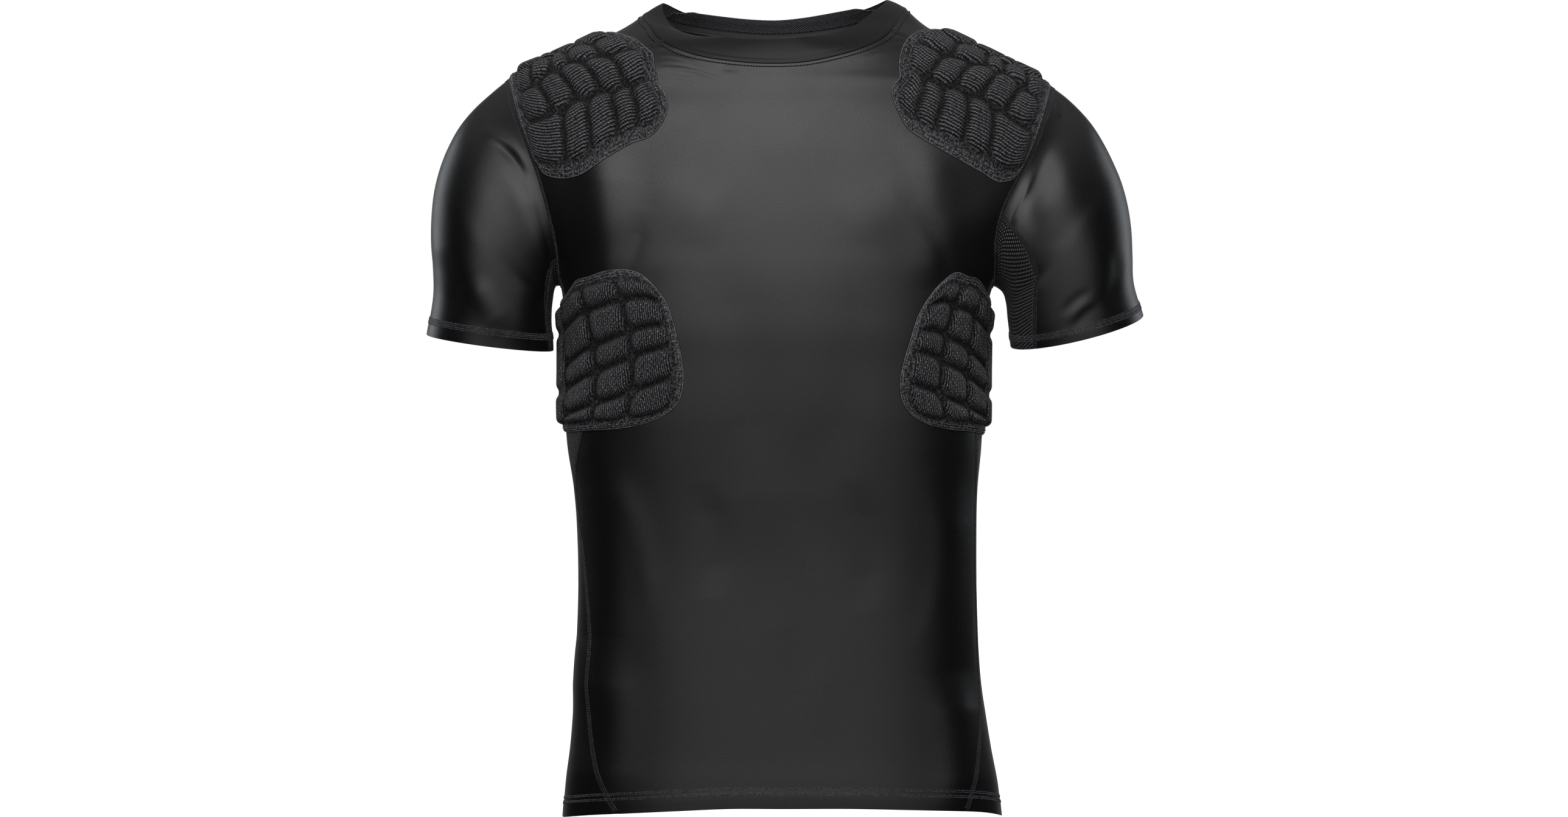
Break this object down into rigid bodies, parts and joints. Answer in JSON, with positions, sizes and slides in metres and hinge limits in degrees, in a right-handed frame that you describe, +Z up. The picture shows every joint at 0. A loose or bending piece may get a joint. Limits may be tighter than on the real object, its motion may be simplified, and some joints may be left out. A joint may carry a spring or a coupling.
{
  "type": "padded compression shirt",
  "caption": "Short-sleeved padded compression shirt in its worn, hollow form, with quilted pads on shoulders and ribs and mesh gussets under the arms.",
  "frame": {"origin": "middle of the wearer's shoulder line, at the base of the neck, where the shirt rests", "axes": "+Z up, front of the shirt facing -Y, +X to the wearer's left"},
  "size_m": [0.6345, 0.2365, 0.7233],
  "materials": {
    "stretch_fabric": "black knitted stretch fabric with a soft satin sheen",
    "collar_fabric": "doubled black stretch fabric, satin",
    "vent_mesh": "black open-knit stretch mesh, matte",
    "tape_mesh": "dark grey open mesh tape, matte",
    "pad_knit": "dark ribbed warp knit over padding, matte, flecked grey",
    "thread": "polyester sewing thread, satin"
  },
  "bodies": {
    "root": {"front_panel": "stretch_fabric", "back_panel": "stretch_fabric", "side_panel_right": "stretch_fabric", "side_panel_left": "stretch_fabric", "sleeve_right": "stretch_fabric", "sleeve_left": "stretch_fabric", "collar": "collar_fabric", "neck_tape": "tape_mesh", "side_mesh_right": "vent_mesh", "side_mesh_left": "vent_mesh", "sleeve_gusset_right": "vent_mesh", "sleeve_gusset_left": "vent_mesh", "shoulder_pad_right": "pad_knit", "shoulder_pad_left": "pad_knit", "rib_pad_right": "pad_knit", "rib_pad_left": "pad_knit"}
  },
  "joints": []
}
